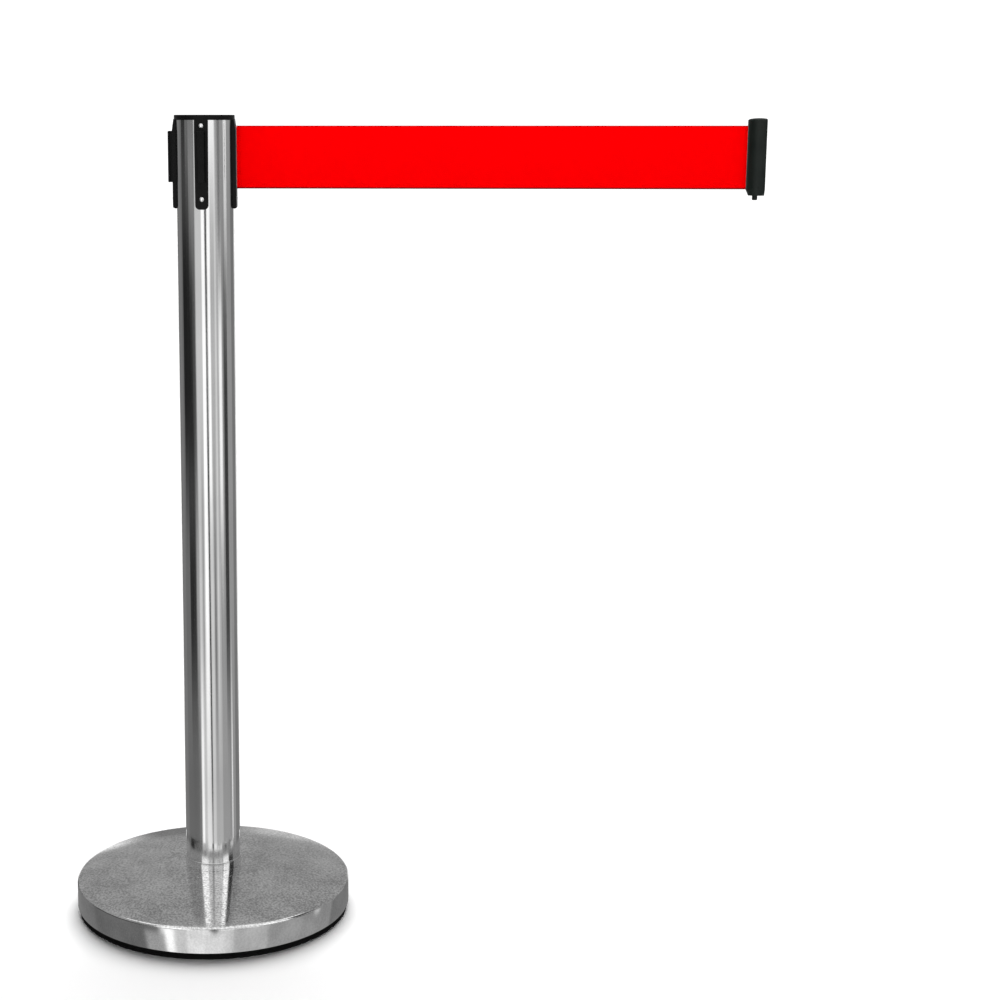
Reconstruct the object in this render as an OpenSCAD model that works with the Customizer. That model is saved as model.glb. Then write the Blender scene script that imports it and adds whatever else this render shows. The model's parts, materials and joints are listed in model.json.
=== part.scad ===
// Retractable belt stanchion: a weighted round base, a steel tube post, a head with four legs, a
// spring-wound belt cassette inside the tube, and a locking clip on the belt's free end.
// Frame: origin on the floor at the centre of the base, +Z up, belt drawn out along +X. Millimetres.

/* [Post] */
// Height of the cap's top above the floor
post_h = 920; // [880:5:1000]
// Outer diameter of the tube
tube_d = 63.5; // [63.3:0.1:63.6]
// Wall thickness of the tube
tube_wall = 1.2; // [1:0.1:1.3]
// Height of the collar at the tube's foot
collar_h = 10; // [6:1:14]
// Radial thickness of the collar
collar_t = 1; // [0.8:0.1:2]

/* [Base] */
// Outer diameter of the base cover
base_d = 320; // [310:2:340]
// Height of the cover's side, up to where its rim starts to round
base_side = 27; // [25:1:30]
// Radius of the cover's rounded rim
rim_round = 3; // [2:0.5:4]
// Rise of the cover from the top of its rounded rim to its middle
dome_rise = 15; // [12:1:20]
// Thickness of the cover's sheet
cover_t = 1; // [0.8:0.1:1.2]
// Height of the rubber ring that shows under the cover
ring_h = 8; // [8:0.5:10]
// Thickness of the weight's plate
weight_t = 18; // [14:1:18]

/* [Head] */
// Diameter of the cap
cap_d = 67; // [66:0.2:67.6]
// Thickness of the cap
cap_h = 5.6; // [5.2:0.1:5.6]
// Width of a leg at its top
leg_w_top = 15.1; // [14.2:0.1:15.4]
// Width of a leg near its foot
leg_w_foot = 14.2; // [13.4:0.1:14.2]
// Distance from the post's axis to a leg's outer face
leg_r = 35.2; // [35:0.1:36]
// Depth of a leg's foot below the cap's top
leg_drop = 101.8; // [98:0.2:104]
// Depth of the upper head screws below the cap's top
upper_screw_drop = 12; // [11:0.1:12]
// Depth of the lower head screws below the cap's top
lower_screw_drop = 90.6; // [89.6:0.1:90.7]
// Diameter of a head screw's domed head
screw_head_d = 6; // [5:0.5:6]

/* [Receiver rails] */
// Width of a rail's flange
rail_w = 8; // [7.6:0.1:8.2]
// Width of a rail's web
rail_web = 4; // [3.6:0.1:4.2]
// Length of a rail
rail_len = 55.7; // [50:0.1:56]
// Depth of a rail's top below the cap's top
rail_drop = 17.3; // [17:0.1:18]
// Distance that a rail stands out of its leg
rail_proud = 5.2; // [5:0.1:5.3]

/* [Belt] */
// Width of the belt
belt_w = 68.3; // [67:0.1:68.5]
// Thickness of the belt
belt_t = 0.5; // [0.4:0.05:0.6]
// Length of belt on and off the spool
belt_len = 2100; // [1800:50:2400]
// Length of belt drawn out, from the outlet leg to the clip
belt_out = 556.8; // [200:0.1:1400]
// Depth of the belt's upper edge below the cap's top
belt_drop = 11.6; // [11.4:0.1:12]

/* [Clip] */
// Height of the clip
clip_h = 83; // [83:0.5:86]
// Depth of the clip, from its round front to its flat back
clip_depth = 19.5; // [19.5:0.1:20]
// Diameter of the clip's round outline
clip_d = 24; // [24:0.5:26]
// Depth of the clip's top below the cap's top
clip_drop = 3.5; // [3:0.1:4]
// Diameter of the release button
button_d = 5.8; // [5.6:0.1:5.8]
// Length of button that shows under the clip
button_proud = 5; // [3.5:0.1:5]
// Travel of the button and of the lock bolt
travel = 2.5; // [2.4:0.1:2.5]

/* [Hidden] */
$fn = 96;

eps = 0.01;         // overlap of shapes that are joined
cut = 1;            // overrun of a cutting tool past a face
slip = 0.05;        // gap of parts that are fitted together
play = 0.1;         // gap of parts that are dropped into place
pocket_gap = 0.15;  // gap round a foot plate in its pocket
gap = 0.3;          // gap between parts that move apart

// colours
steel = "#b9bcbe";
bright_steel = "#e2e4e6";
black_plastic = "#17181a";
clip_plastic = "#1b211f";
web_red = "#e8060a";
rubber = "#101010";
cast_iron = "#34363a";
nylon = "#d8d6cf";
bronze = "#a07a3e";
felt = "#6f6f68";
spring_steel = "#8f969c";

// base, from the floor up
base_r = base_d / 2;
ring_r = base_r - 2;
side_top = ring_h + base_side;
base_top = side_top + rim_round + dome_rise;
seat_r = 34;
dome_run = base_r - rim_round - seat_r;
dome_h = base_top - side_top;
dome_R = (pow(dome_run, 2) + pow(dome_h, 2) - pow(rim_round, 2)) / (2 * (dome_h - rim_round));
rim_angle = asin(dome_run / (dome_R - rim_round));
weight_z = ring_h + 1.2;
weight_r = base_r - 9.5;
weight_foot = 12;
bolt_r = 5.9;
bolt_hole_r = 6.4;
recess_r = 17;
recess_top = weight_z + 13;
washer_r = 13;
washer_t = 1.8;
lock_washer_r = 9.5;
lock_washer_t = 2.2;
head_top = recess_top - washer_t - lock_washer_t;
bolt_head_h = 7.5;
plug_h = 15;

// post
tube_r = tube_d / 2;
tube_in = tube_r - tube_wall;
tube_top = post_h - cap_h;

// head
leg_in = tube_r + slip;
cap_r = cap_d / 2;
leg_slope_end = post_h - 17;
leg_foot = post_h - leg_drop;
foot_round = 2.4;
face_round = 5;
upper_screw_z = post_h - upper_screw_drop;
lower_screw_z = post_h - lower_screw_drop;
upper_seat_r = 33.8;
lower_seat_r = leg_r - 0.6;
screw_r = 1.7;
screw_tip_r = 26.3;
screw_head_h = 1.8;
screw_recess_r = screw_head_d / 2 + 0.2;

// foot plate of a rail or of the belt guide, in its pocket behind a leg
foot_plate_in = tube_r + pocket_gap;
foot_plate_out = foot_plate_in + 1.2;
foot_plate_w = 9.2;

// receiver rails
rail_top = post_h - rail_drop;
rail_bottom = rail_top - rail_len;
rail_out = leg_r + rail_proud;
rail_flange_t = 2;
rail_foot_extra = 3;
rail_corner = 1.2;

// belt and spool
belt_top = post_h - belt_drop;
belt_bottom = belt_top - belt_w;
belt_side_gap = 0.5;
core_r = 9;
roll_r = sqrt(pow(core_r, 2) + belt_t * (belt_len - belt_out) / PI);
flange_r = 24;
flange_t = 2;
flange_top_t = 1.8;
spool_floor = belt_bottom - belt_side_gap;
spool_roof = belt_top + belt_side_gap;
spool_top = spool_roof + flange_top_t;
arbor_r = 6.3;
arbor_bottom = spool_floor - 29.2;
spool_bore_r = 3.7;
bushing_r = 4.5;
bushing_len = 8;
spigot_r = 7;
anchor_x = 6.7;
anchor_pin_r = 1;
anchor_pocket_r = 1.75;

// cassette, which fills the top of the tube
cassette_r = tube_in - 0.35;
drum_in = cassette_r - 2.8;
plate_top_z = spool_top + 0.8;
plate_top_t = 2;
felt_room = 2.1;
felt_gap = 0.15;
plate_bottom_top = spool_floor - flange_t - felt_room;
plate_bottom_t = 9;
plate_bottom_z = plate_bottom_top - plate_bottom_t;
cap_lip_h = 0.7;
cap_lip_t = 2.2;
cap_lip_gap = 0.25;
arbor_gap = 0.5;
spindle_r = 3;
spindle_head_r = 5;
sunk_head_t = 1.3;
sunk_z = plate_top_z + plate_top_t - sunk_head_t;
tie_r = 25.9;
tie_screw_r = 1.25;
tie_head_r = 2.2;
tie_tip_z = plate_bottom_z + 3;

// spring case, under the cassette's bottom plate
case_r = 26.5;
case_wall = 1.2;
case_flange_r = 30;
case_top = plate_bottom_z;
case_flange_t = 4;
case_bottom = case_top - 18.5;
case_floor_t = 1.5;
lid_t = 1.4;
lid_seat = case_top - lid_t - play;
case_screw_at = 28.4;
case_screw_r = 1;
case_screw_head_r = 1.8;
case_screw_bite = 4.5;
case_screw_angles = [22.5, 142.5, 262.5];
spindle_bottom = case_bottom - 3;
clip_groove_z = case_bottom - 1.1;
clip_groove_h = 0.9;
clip_groove_r = 2.3;
spring_strip = 0.35;
spring_turns = 12;
spring_steps = 20;
spring_bottom = case_bottom + case_floor_t + 0.8;
spring_top = lid_seat - 0.8;

// belt outlet
lip_r = 1.1;
lip_x = 26.9;
guide_gap = 0.9;
lip_y = guide_gap / 2 + lip_r;
guide_half = lip_y + lip_r;
window_half = guide_half + 0.25;
guide_bottom = spool_floor - 0.9;
guide_top = spool_roof + 0.9;
guide_foot_extra = 1.5;
leg_slot = 1.8;

// clip; its modules draw it with the middle of its flat back at x = 0
clip_r = clip_d / 2;
clip_x = leg_r + belt_out + clip_depth;
clip_front = -clip_depth;
clip_axis = clip_front + clip_r;
clip_top = post_h - clip_drop;
clip_bottom = clip_top - clip_h;
clip_split = -13;
clip_dome = 1.4;
clip_edge = 1.6;
clip_taper_h = 6.5;
clip_taper = 3;
throat_w = rail_web + 0.6;
cavity_w = rail_w + 0.7;
lip_depth = 2.7;
channel_depth = rail_proud + 0.2;
channel_top = rail_top + gap;
belt_pin_x = clip_front + 3.6;
belt_pin_r = 1.2;
belt_pin_bottom = clip_bottom + 1.5;
belt_pin_top = spool_roof + 2.5;
belt_pocket_r = 2.3;
belt_slot = 1.6;
clip_screw_y = 6.9;
clip_screw_r = 1;
clip_screw_head_r = 1.8;
clip_screw_head_h = 1.5;
clip_screw_tip = clip_split - 2.5;
clip_screw_zs = [clip_bottom + 6, clip_top - 5.5];

// lock, in the foot of the clip
button_x = -9.3;
button_r = button_d / 2;
button_collar_r = 3.4;
button_collar_t = 1.2;
clip_floor = clip_bottom + 2.5;
button_pocket_r = 3.6;
tongue_w = 2.6;
tongue_t = 2.8;
bolt_h = 3.4;
bolt_top = rail_bottom - 0.4;
bolt_bottom = bolt_top - bolt_h;
bolt_tip = -channel_depth + 2.3;
bolt_tail = -10.3;
bolt_w = 7;
bolt_arm_w = 14.8;
bolt_arm_t = 1.8;
tunnel_gap = 0.2;
lock_spring_y = 5.5;
lock_spring_r = 1.45;
lock_spring_wire = 0.2;
lock_spring_gap = 0.15;
lock_spring_turns = 5;
lock_spring_seat = clip_split - 2.5;

// ---------------------------------------------------------------- helpers

// points along an arc from one angle to another
function arc(centre, r, from, to, steps) = [
    for (i = [0:steps])
        let (a = from + (to - from) * i / steps) centre + r * [cos(a), sin(a)]
];

// direction of a path at one of its points
function heading(path, i) =
    let (a = path[max(i - 1, 0)], b = path[min(i + 1, len(path) - 1)], d = b - a) d / norm(d);

// outline of a strip of a given thickness along a path
function strip(path, t) = concat(
    [for (i = [0:len(path) - 1]) path[i] + t / 2 * [-heading(path, i)[1], heading(path, i)[0]]],
    [for (i = [len(path) - 1:-1:0]) path[i] - t / 2 * [-heading(path, i)[1], heading(path, i)[0]]]
);

// a flat ring or tube standing on a height
module ring(outer, inner, bottom, height) {
    translate([0, 0, bottom]) difference() {
        cylinder(r = outer, h = height);
        translate([0, 0, -cut]) cylinder(r = inner, h = height + 2 * cut);
    }
}

// a cylinder along +X from one distance to another
module radial_cylinder(r, from, to) {
    translate([from, 0, 0]) rotate([0, 90, 0]) cylinder(r = r, h = to - from);
}

// a box given by its lowest and highest corners
module box(low, high) {
    translate(low) cube(high - low);
}

// an outline in X and Z, made thick along Y and centred on y = 0
module side_plate(w) {
    rotate([90, 0, 0]) linear_extrude(height = w, center = true) children();
}

// an outline in Y and Z, made deep along +X from x = 0
module face_plate(depth) {
    rotate([90, 0, 90]) linear_extrude(height = depth) children();
}

// a rectangle with its two right-hand corners rounded
module right_round(low, high, r) {
    translate(low) square([high[0] - low[0] - r, high[1] - low[1]]);
    translate([low[0], low[1] + r]) square([high[0] - low[0], high[1] - low[1] - 2 * r]);
    for (z = [low[1] + r, high[1] - r]) translate([high[0] - r, z]) circle(r);
}

// ---------------------------------------------------------------- base

// half outline of the domed base, drawn some way in from the cover's outer surface
module dome_outline(inset) {
    // length that reaches past the dome's surface
    ray = dome_R + base_side;
    translate([0, ring_h]) square([base_r - inset, base_side]);
    translate([0, side_top]) square([seat_r, dome_h - inset]);
    translate([base_r - rim_round, side_top]) circle(rim_round - inset);
    intersection() {
        translate([seat_r, base_top - dome_R]) circle(dome_R - inset, $fn = 720);
        translate([seat_r, base_top - dome_R])
            polygon([[0, 0], [0, ray], [ray * sin(rim_angle), ray * cos(rim_angle)]]);
        translate([0, side_top]) square([base_r, dome_h]);
    }
}

module base_cover() {
    color(steel) difference() {
        rotate_extrude($fn = 180) difference() {
            dome_outline(0);
            dome_outline(cover_t);
            translate([-eps, ring_h - cut]) square([base_r - cover_t + eps, 2 * cut]);
        }
        translate([0, 0, ring_h]) cylinder(r = bolt_hole_r, h = base_top);
    }
}

module base_ring() {
    edge = 0.8;
    inner = weight_r - weight_foot;
    ledge = weight_z - slip;
    lip_top = ring_h + 6;
    lip_in = weight_r + 0.4;
    lip_out = base_r - cover_t - slip;
    color(rubber) rotate_extrude($fn = 180) polygon([
        [inner, 0], [ring_r - edge, 0], [ring_r, edge], [ring_r, ring_h], [lip_out, ring_h],
        [lip_out, lip_top], [lip_in, lip_top], [lip_in, ledge], [inner, ledge]
    ]);
}

module base_weight() {
    plate_top = weight_z + weight_t;
    boss_r = 40;
    boss_foot = 6;
    boss_top = base_top - cover_t;
    edge = 1.5;
    rim_w = 10;
    rim_draft = 2;
    rim_top = side_top - 2;
    rib_t = 8;
    rib_top = plate_top + 7;
    rib_in = boss_r - 4;
    rib_out = weight_r - rim_w / 2;
    color(cast_iron) difference() {
        union() {
            rotate_extrude() polygon([
                [bolt_hole_r, weight_z], [weight_r - edge, weight_z], [weight_r, weight_z + edge],
                [weight_r, rim_top], [weight_r - rim_w, rim_top], [weight_r - rim_w - rim_draft, plate_top],
                [boss_r + boss_foot, plate_top], [seat_r, boss_top], [bolt_hole_r, boss_top]
            ]);
            for (a = [30:60:330])
                rotate([0, 0, a])
                    box([rib_in, -rib_t / 2, plate_top - cut], [rib_out, rib_t / 2, rib_top]);
        }
        translate([0, 0, weight_z - cut]) cylinder(r = recess_r, h = recess_top - weight_z + cut);
    }
}

module foot_plug() {
    color(spring_steel) difference() {
        translate([0, 0, base_top]) cylinder(r = tube_in - slip, h = plug_h);
        translate([0, 0, base_top - cut]) cylinder(r = bolt_r + slip, h = plug_h + 2 * cut);
    }
}

module base_bolt() {
    across_corners = 21.9;
    bolt_end = base_top + plug_h - 1;
    color(spring_steel) {
        translate([0, 0, head_top - bolt_head_h]) cylinder(d = across_corners, h = bolt_head_h, $fn = 6);
        translate([0, 0, head_top - eps]) cylinder(r = bolt_r, h = bolt_end - head_top);
    }
}

module base_washer() {
    color(bright_steel) ring(washer_r, bolt_hole_r, recess_top - washer_t, washer_t);
}

module lock_washer() {
    split = 1.2;
    color(spring_steel) difference() {
        ring(lock_washer_r, bolt_r + gap, head_top, lock_washer_t);
        box([0, -split / 2, head_top - cut],
            [lock_washer_r + cut, split / 2, head_top + lock_washer_t + cut]);
    }
}

// ---------------------------------------------------------------- post

module post_collar() {
    edge = 0.5;
    color(bright_steel) rotate_extrude() polygon([
        [tube_r + slip, base_top], [tube_r + collar_t, base_top],
        [tube_r + collar_t, base_top + collar_h - edge],
        [tube_r + collar_t - edge, base_top + collar_h], [tube_r + slip, base_top + collar_h]
    ]);
}

// where the head screws go: [angle about the post, height, radius of the head's seat]
head_screw_places = concat(
    [for (a = [0:90:270]) [a, lower_screw_z, lower_seat_r]],
    [for (a = [90:90:270]) [a, upper_screw_z, upper_seat_r]]
);

module head_screw_holes(r) {
    for (p = head_screw_places)
        rotate([0, 0, p[0]]) translate([0, 0, p[1]]) radial_cylinder(r, screw_tip_r - cut, leg_r + cut);
}

module outlet_window(from, to) {
    box([from, -window_half, guide_bottom - gap], [to, window_half, guide_top + gap]);
}

module post_tube() {
    color(bright_steel) difference() {
        ring(tube_r, tube_in, base_top, tube_top - base_top);
        head_screw_holes(screw_r + slip);
        outlet_window(tube_in - cut, tube_r + cut);
    }
}

// ---------------------------------------------------------------- head

// outline of a leg seen from its side, in distance from the axis and height
leg_side_outline = concat(
    [[leg_in - cut, leg_foot], [leg_in, leg_foot]],
    arc([leg_r - foot_round, leg_foot + foot_round], foot_round, -90, 0, 6),
    [[leg_r, leg_slope_end], [cap_r, tube_top], [cap_r, tube_top + cut], [leg_in - cut, tube_top + cut]]
);

// outline of a leg seen face on, with its rounded foot
leg_face_outline = concat(
    arc([leg_w_foot / 2 - face_round, leg_foot + face_round], face_round, -90, 0, 8),
    [[leg_w_top / 2, tube_top + cut], [-leg_w_top / 2, tube_top + cut]],
    arc([face_round - leg_w_foot / 2, leg_foot + face_round], face_round, 180, 270, 8)
);

module foot_pocket(bottom, top) {
    half = foot_plate_w / 2 + pocket_gap;
    box([foot_plate_in - cut, -half, bottom - pocket_gap], [foot_plate_out + play, half, top + pocket_gap]);
}

module head_leg(is_outlet) {
    rail_slot = rail_web / 2 + play;
    difference() {
        intersection() {
            side_plate(leg_w_top + 2 * cut) polygon(leg_side_outline);
            face_plate(leg_r + cut) polygon(leg_face_outline);
        }
        translate([0, 0, leg_foot - cut]) cylinder(r = leg_in, h = tube_top - leg_foot + cut);
        translate([0, 0, lower_screw_z]) radial_cylinder(screw_recess_r, lower_seat_r, leg_r + cut);
        if (is_outlet) {
            foot_pocket(guide_bottom - guide_foot_extra, guide_top + guide_foot_extra);
            box([tube_r, -leg_slot / 2, guide_bottom], [leg_r + cut, leg_slot / 2, guide_top]);
        } else {
            foot_pocket(rail_bottom - rail_foot_extra, rail_top + rail_foot_extra);
            box([tube_r, -rail_slot, rail_bottom - play], [leg_r + cut, rail_slot, rail_top + play]);
            translate([0, 0, upper_screw_z]) radial_cylinder(screw_recess_r, upper_seat_r, leg_r + cut);
        }
    }
}

module head_crown() {
    edge = 1.2;
    lip_out = tube_in - cap_lip_gap;
    color(black_plastic) difference() {
        union() {
            rotate_extrude() {
                translate([0, tube_top]) square([cap_r, cap_h - edge]);
                translate([0, tube_top]) square([cap_r - edge, cap_h]);
                translate([cap_r - edge, post_h - edge]) circle(edge);
            }
            ring(lip_out, lip_out - cap_lip_t, tube_top - cap_lip_h, cap_lip_h + eps);
            for (a = [0:90:270]) rotate([0, 0, a]) head_leg(a == 0);
        }
        head_screw_holes(screw_r + slip);
    }
}

module receiver_rail() {
    web_out = rail_out - rail_flange_t;
    half = rail_w / 2;
    chamfer = 0.5;
    color(black_plastic) {
        box([foot_plate_in, -foot_plate_w / 2, rail_bottom - rail_foot_extra],
            [foot_plate_out, foot_plate_w / 2, rail_top + rail_foot_extra]);
        intersection() {
            translate([0, 0, rail_bottom]) linear_extrude(height = rail_len) polygon([
                [foot_plate_out - eps, -rail_web / 2], [web_out, -rail_web / 2], [web_out, -half],
                [rail_out - chamfer, -half], [rail_out, chamfer - half], [rail_out, half - chamfer],
                [rail_out - chamfer, half], [web_out, half], [web_out, rail_web / 2],
                [foot_plate_out - eps, rail_web / 2]
            ]);
            side_plate(rail_w + 2 * cut)
                right_round([tube_r, rail_bottom], [rail_out, rail_top], rail_corner);
        }
    }
}

module receiver_rail_left() {
    rotate([0, 0, 180]) receiver_rail();
}

module receiver_rail_front() {
    rotate([0, 0, 270]) receiver_rail();
}

module receiver_rail_back() {
    rotate([0, 0, 90]) receiver_rail();
}

module head_screw(seat) {
    head_r = screw_head_d / 2;
    dome_r = (pow(head_r, 2) + pow(screw_head_h, 2)) / (2 * screw_head_h);
    socket_r = 1.15;
    socket_depth = 1;
    difference() {
        union() {
            radial_cylinder(screw_r, screw_tip_r, seat + eps);
            translate([seat, 0, 0]) rotate([0, 90, 0]) rotate_extrude() intersection() {
                translate([0, screw_head_h - dome_r]) circle(dome_r);
                square([head_r, screw_head_h]);
            }
        }
        translate([seat + screw_head_h - socket_depth, 0, 0])
            rotate([0, 90, 0]) cylinder(r = socket_r, h = screw_head_h, $fn = 6);
    }
}

module head_screws() {
    color(bright_steel)
        for (p = head_screw_places) rotate([0, 0, p[0]]) translate([0, 0, p[1]]) head_screw(p[2]);
}

// ---------------------------------------------------------------- cassette

module at_ties() {
    for (a = [45:90:315]) rotate([0, 0, a]) translate([tie_r, 0, 0]) children();
}

module at_case_screws() {
    for (a = case_screw_angles) rotate([0, 0, a]) translate([case_screw_at, 0, 0]) children();
}

module cassette_plate_bottom() {
    color(black_plastic) difference() {
        ring(cassette_r, arbor_r + arbor_gap, plate_bottom_z, plate_bottom_t);
        head_screw_holes(screw_r + slip);
        at_ties()
            translate([0, 0, tie_tip_z - gap]) cylinder(r = tie_screw_r + slip, h = plate_bottom_t);
        at_case_screws()
            translate([0, 0, plate_bottom_z - cut])
                cylinder(r = case_screw_r + slip, h = cut + case_screw_bite + gap);
    }
}

module cassette_plate_top() {
    color(black_plastic) difference() {
        ring(cassette_r, spindle_r + slip, plate_top_z, plate_top_t);
        translate([0, 0, sunk_z]) cylinder(r = spindle_head_r + play, h = plate_top_t);
        at_ties() {
            translate([0, 0, plate_top_z - cut])
                cylinder(r = tie_screw_r + play, h = plate_top_t + 2 * cut);
            translate([0, 0, sunk_z]) cylinder(r = tie_head_r + play, h = plate_top_t);
        }
    }
}

module cassette_drum() {
    color(black_plastic) difference() {
        ring(cassette_r, drum_in, plate_bottom_top, plate_top_z - plate_bottom_top);
        head_screw_holes(screw_r + slip);
        outlet_window(drum_in - cut, cassette_r + cut);
    }
}

module cassette_tie_screws() {
    color(spring_steel) at_ties() {
        translate([0, 0, tie_tip_z]) cylinder(r = tie_screw_r, h = sunk_z - tie_tip_z + eps);
        translate([0, 0, sunk_z]) cylinder(r = tie_head_r, h = sunk_head_t - play);
    }
}

module belt_guide() {
    color(black_plastic) difference() {
        union() {
            box([lip_x, -guide_half, guide_bottom], [foot_plate_in + eps, guide_half, guide_top]);
            for (side = [-1, 1])
                translate([lip_x, side * lip_y, guide_bottom])
                    cylinder(r = lip_r, h = guide_top - guide_bottom);
            box([foot_plate_in, -foot_plate_w / 2, guide_bottom - guide_foot_extra],
                [foot_plate_out, foot_plate_w / 2, guide_top + guide_foot_extra]);
        }
        box([lip_x - lip_r - cut, -guide_gap / 2, spool_floor], [leg_r, guide_gap / 2, spool_roof]);
    }
}

module spindle() {
    color(bright_steel) difference() {
        union() {
            translate([0, 0, spindle_bottom]) cylinder(r = spindle_r, h = sunk_z - spindle_bottom + eps);
            translate([0, 0, sunk_z]) cylinder(r = spindle_head_r, h = sunk_head_t - play);
        }
        ring(spindle_r + cut, clip_groove_r, clip_groove_z, clip_groove_h);
    }
}

module spindle_clip() {
    outer = 5.2;
    mouth = 3;
    color(spring_steel) difference() {
        ring(outer, clip_groove_r + slip, clip_groove_z + slip, clip_groove_h - 2 * slip);
        box([0, -mouth / 2, clip_groove_z - cut],
            [outer + cut, mouth / 2, clip_groove_z + clip_groove_h + cut]);
    }
}

module friction_washer() {
    outer = 14;
    inner = arbor_r + 1.2;
    color(felt) ring(outer, inner, plate_bottom_top, felt_room - felt_gap);
}

module spring_case() {
    color(nylon) difference() {
        union() {
            translate([0, 0, case_bottom]) cylinder(r = case_r, h = case_top - case_bottom);
            translate([0, 0, case_top - case_flange_t]) cylinder(r = case_flange_r, h = case_flange_t);
        }
        translate([0, 0, case_bottom + case_floor_t]) cylinder(r = case_r - case_wall, h = case_top);
        translate([0, 0, lid_seat]) cylinder(r = case_r, h = case_top);
        translate([0, 0, case_bottom - cut]) cylinder(r = spindle_r + slip, h = case_floor_t + 2 * cut);
        at_case_screws()
            translate([0, 0, case_top - case_flange_t - cut])
                cylinder(r = case_screw_r + slip, h = case_flange_t + 2 * cut);
    }
}

module spring_case_lid() {
    color(nylon) ring(case_r - slip, arbor_r + arbor_gap, lid_seat, lid_t);
}

module spring_case_screws() {
    flange_bottom = case_top - case_flange_t;
    head_h = 1.6;
    color(spring_steel) at_case_screws() {
        translate([0, 0, flange_bottom - head_h]) cylinder(r = case_screw_head_r, h = head_h);
        translate([0, 0, flange_bottom - eps])
            cylinder(r = case_screw_r, h = case_flange_t + case_screw_bite);
    }
}

module power_spring() {
    inner = arbor_r + slip + spring_strip / 2;
    outer = case_r - case_wall - slip - spring_strip / 2;
    steps = spring_turns * spring_steps;
    coil = [for (i = [0:steps])
        (inner + (outer - inner) * i / steps) * [cos(360 * i / spring_steps), sin(360 * i / spring_steps)]];
    color(spring_steel) translate([0, 0, spring_bottom])
        linear_extrude(height = spring_top - spring_bottom) polygon(strip(coil, spring_strip));
}

// ---------------------------------------------------------------- spool and belt

module spool() {
    color(nylon) difference() {
        union() {
            translate([0, 0, arbor_bottom]) cylinder(r = arbor_r, h = spool_floor - arbor_bottom);
            translate([0, 0, spool_floor - flange_t]) cylinder(r = flange_r, h = flange_t);
            translate([0, 0, spool_floor - eps]) cylinder(r = core_r, h = spool_roof - spool_floor + eps);
            translate([0, 0, spool_roof - eps]) cylinder(r = spigot_r, h = flange_top_t + eps);
        }
        translate([0, 0, arbor_bottom - cut]) cylinder(r = spool_bore_r, h = spool_top);
        translate([0, 0, arbor_bottom - cut]) cylinder(r = bushing_r, h = bushing_len + cut);
        translate([0, 0, spool_top - bushing_len]) cylinder(r = bushing_r, h = bushing_len + cut);
        translate([anchor_x, 0, spool_floor]) cylinder(r = anchor_pocket_r, h = spool_roof - spool_floor);
        box([anchor_x, -belt_t, spool_floor], [core_r + cut, belt_t, spool_roof]);
    }
}

module spool_flange() {
    color(nylon) ring(flange_r, spigot_r + slip, spool_roof, flange_top_t);
}

module spool_bushing_upper() {
    color(bronze) ring(bushing_r - slip, spindle_r + slip, spool_top - bushing_len, bushing_len);
}

module spool_bushing_lower() {
    color(bronze) ring(bushing_r - slip, spindle_r + slip, arbor_bottom, bushing_len);
}

module belt_anchor_pin() {
    color(bright_steel) translate([anchor_x, 0, spool_floor + play])
        cylinder(r = anchor_pin_r, h = spool_roof - spool_floor - 2 * play);
}

module belt_roll() {
    loop_in = anchor_pin_r + slip;
    color(web_red) {
        ring(roll_r, core_r + slip, belt_bottom, belt_w);
        box([anchor_x + loop_in + belt_t / 2, -belt_t / 2, belt_bottom],
            [core_r + belt_t, belt_t / 2, belt_top]);
        translate([anchor_x, 0, 0]) ring(loop_in + belt_t, loop_in, belt_bottom, belt_w);
    }
}

// the belt's path from the roll, round the near lip and out along +X
lead_r = roll_r + gap + belt_t / 2;
lip_centre = [lip_x, -lip_y];
lip_path_r = lip_y;
lead_angle = atan2(-lip_y, lip_x) + asin((lead_r + lip_path_r) / norm(lip_centre));
lead_path = concat(
    [lead_r * [sin(lead_angle), -cos(lead_angle)]],
    arc(lip_centre, lip_path_r, lead_angle + 90, 90, 8),
    [[leg_r, 0]]
);

module belt_lead() {
    color(web_red) translate([0, 0, belt_bottom])
        linear_extrude(height = belt_w) polygon(strip(lead_path, belt_t));
}

module belt_span() {
    pin_x = clip_x + belt_pin_x;
    loop_in = belt_pin_r + slip;
    color(web_red) {
        box([leg_r + gap, -belt_t / 2, belt_bottom],
            [pin_x - loop_in - belt_t / 2, belt_t / 2, belt_top]);
        translate([pin_x, 0, 0]) ring(loop_in + belt_t, loop_in, belt_bottom, belt_w);
    }
}

// ---------------------------------------------------------------- clip

// everything of the clip between two distances from its back
module clip_slice(from, to) {
    half = clip_r + cut;
    box([from, -half, clip_bottom - cut], [to, half, clip_top + cut]);
}

// the clip's whole outer shape: a round block with a domed top and a tapered foot
module clip_block() {
    dome_r = (pow(clip_r, 2) + pow(clip_dome, 2)) / (2 * clip_dome);
    rim_z = clip_top - clip_dome;
    intersection() {
        translate([clip_axis, 0, 0]) rotate_extrude() intersection() {
            union() {
                polygon([
                    [0, clip_bottom], [clip_r - clip_taper, clip_bottom],
                    [clip_r, clip_bottom + clip_taper_h], [clip_r, rim_z - clip_edge],
                    [0, rim_z - clip_edge]
                ]);
                translate([0, rim_z - clip_edge]) square([clip_r - clip_edge, clip_edge + clip_dome]);
                translate([clip_r - clip_edge, rim_z - clip_edge]) circle(clip_edge);
            }
            translate([0, clip_top - dome_r]) circle(dome_r, $fn = 360);
            translate([0, clip_bottom - cut]) square([clip_r + cut, clip_h + 2 * cut]);
        }
        clip_slice(clip_front - cut, 0);
    }
}

module clip_screw_holes() {
    for (z = clip_screw_zs, side = [-1, 1]) translate([0, side * clip_screw_y, z]) {
        radial_cylinder(clip_screw_r + slip, clip_screw_tip - gap, cut);
        radial_cylinder(clip_screw_head_r + play, -clip_screw_head_h - play, cut);
    }
}

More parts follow.
